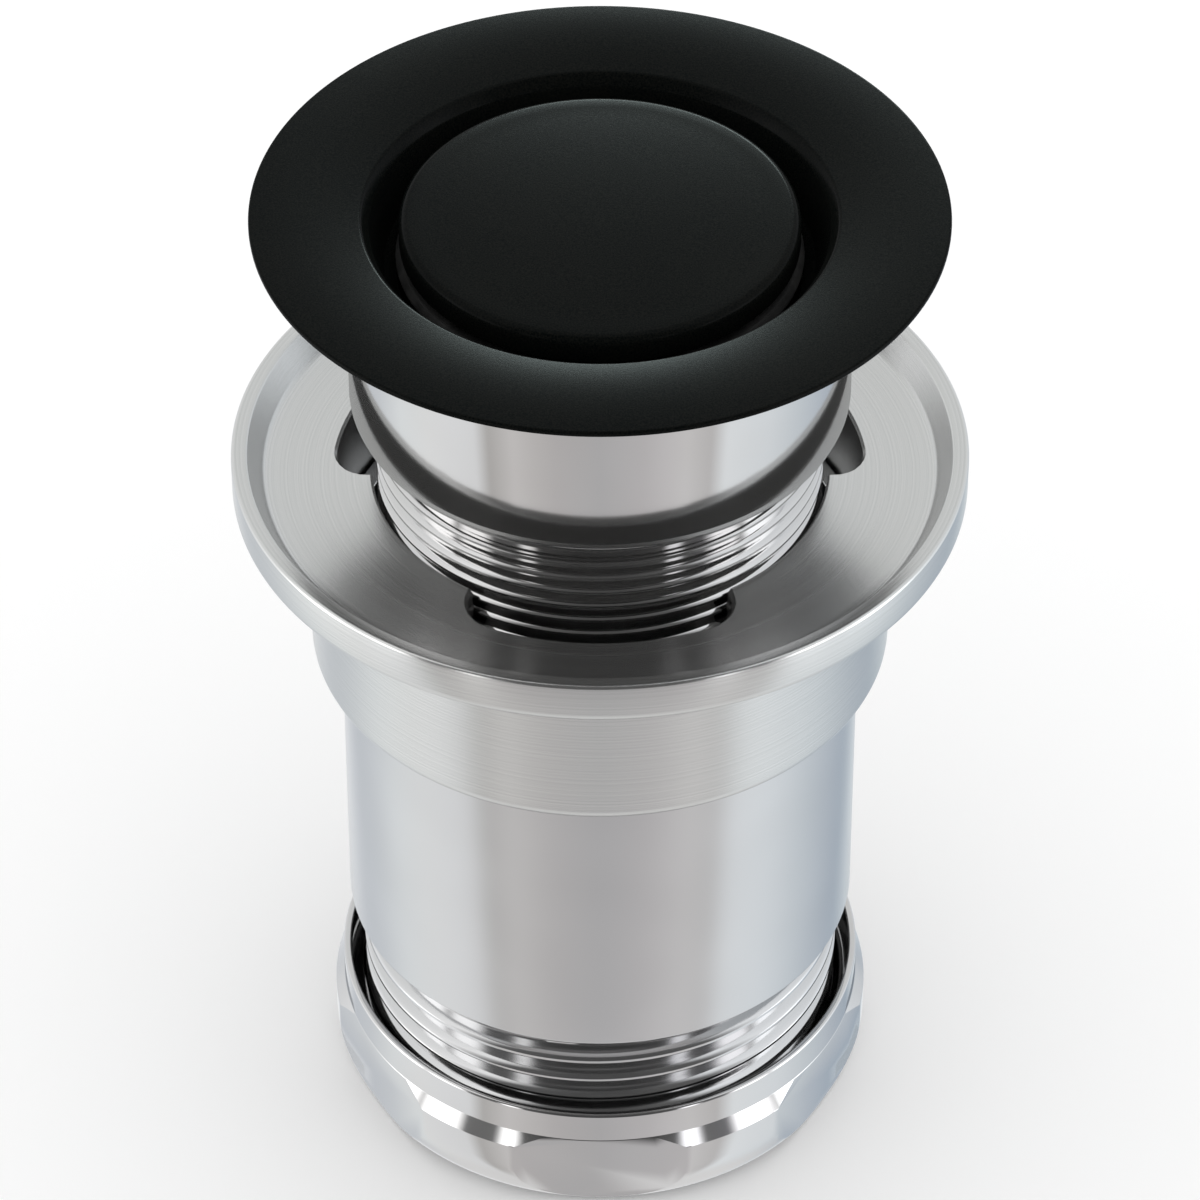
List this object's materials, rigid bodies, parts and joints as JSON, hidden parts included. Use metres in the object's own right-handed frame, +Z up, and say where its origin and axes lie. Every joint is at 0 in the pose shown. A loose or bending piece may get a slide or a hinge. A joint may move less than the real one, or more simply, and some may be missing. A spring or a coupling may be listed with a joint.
{
  "type": "basin pop-up waste",
  "caption": "Threaded wash basin waste with a push-to-open plug, a flange over the hole, a dished lower flange with overflow slots, and a tail tube with a slip nut.",
  "frame": {"origin": "on the axis, at the bottom face of the slip nut", "axes": "+Z up along the waste's axis towards the plug, -Y towards the viewer with a flat of the nut and one overflow slot facing it"},
  "size_m": [0.0618, 0.0618, 0.0924],
  "materials": {
    "black_coat": "fine matt powder coat",
    "polished_metal": "polished, clear reflections",
    "turned_metal": "turned, satin, fine rings",
    "satin_tube": "satin bright",
    "black_rubber": "matt",
    "white_plastic": "moulded",
    "grey_plastic": "moulded",
    "spring_steel": "drawn wire and turned pin"
  },
  "bodies": {
    "lower_body": {"lower_flange": "turned_metal", "tail_tube": "satin_tube"},
    "nut_rings": {"friction_ring": "white_plastic", "compression_ring": "black_rubber"},
    "nut": {"slip_nut": "polished_metal"},
    "gasket": {"flange_gasket": "black_rubber"},
    "upper_body": {"top_flange": "black_coat", "neck_body": "polished_metal", "click_barrel": "white_plastic", "stem_o_ring": "black_rubber", "click_guide": "grey_plastic", "click_spring": "spring_steel", "barrel_cap": "grey_plastic", "barrel_locknut": "polished_metal"},
    "plug": {"plug_cap": "black_coat", "plug_carrier": "grey_plastic", "plug_seal": "black_rubber", "plug_stem": "spring_steel", "stem_clip": "spring_steel"},
    "rotor": {"click_rotor": "white_plastic"}
  },
  "joints": [
    {"name": "nut_travel", "type": "slide", "parent": "lower_body", "child": "nut_rings", "axis": [0, 0, 1], "range_m": [-0.0031, 0.001]},
    {"name": "nut_turn", "type": "hinge", "parent": "nut_rings", "child": "nut", "pos_m": [0, 0, 0.005], "axis": [0, 0, 1], "range_deg": [-500, 160]},
    {"name": "neck_travel", "type": "slide", "parent": "lower_body", "child": "gasket", "axis": [0, 0, 1], "range_m": [-0.0071, 0.0086]},
    {"name": "neck_turn", "type": "hinge", "parent": "gasket", "child": "upper_body", "pos_m": [0, 0, 0.08], "axis": [0, 0, 1], "range_deg": [-1680, 2040]},
    {"name": "plug_slide", "type": "slide", "parent": "upper_body", "child": "plug", "axis": [0, 0, 1], "range_m": [0, 0.008], "deforming": ["click_spring"]},
    {"name": "rotor_turn", "type": "hinge", "parent": "plug", "child": "rotor", "pos_m": [0, 0, 0.064], "axis": [0, 0, 1], "continuous": true}
  ],
  "couplings": [
    {"joint": "nut_travel", "follows": "nut_turn", "m_per_rad": 0.00035157},
    {"joint": "neck_travel", "follows": "neck_turn", "m_per_rad": 0.00023873}
  ]
}
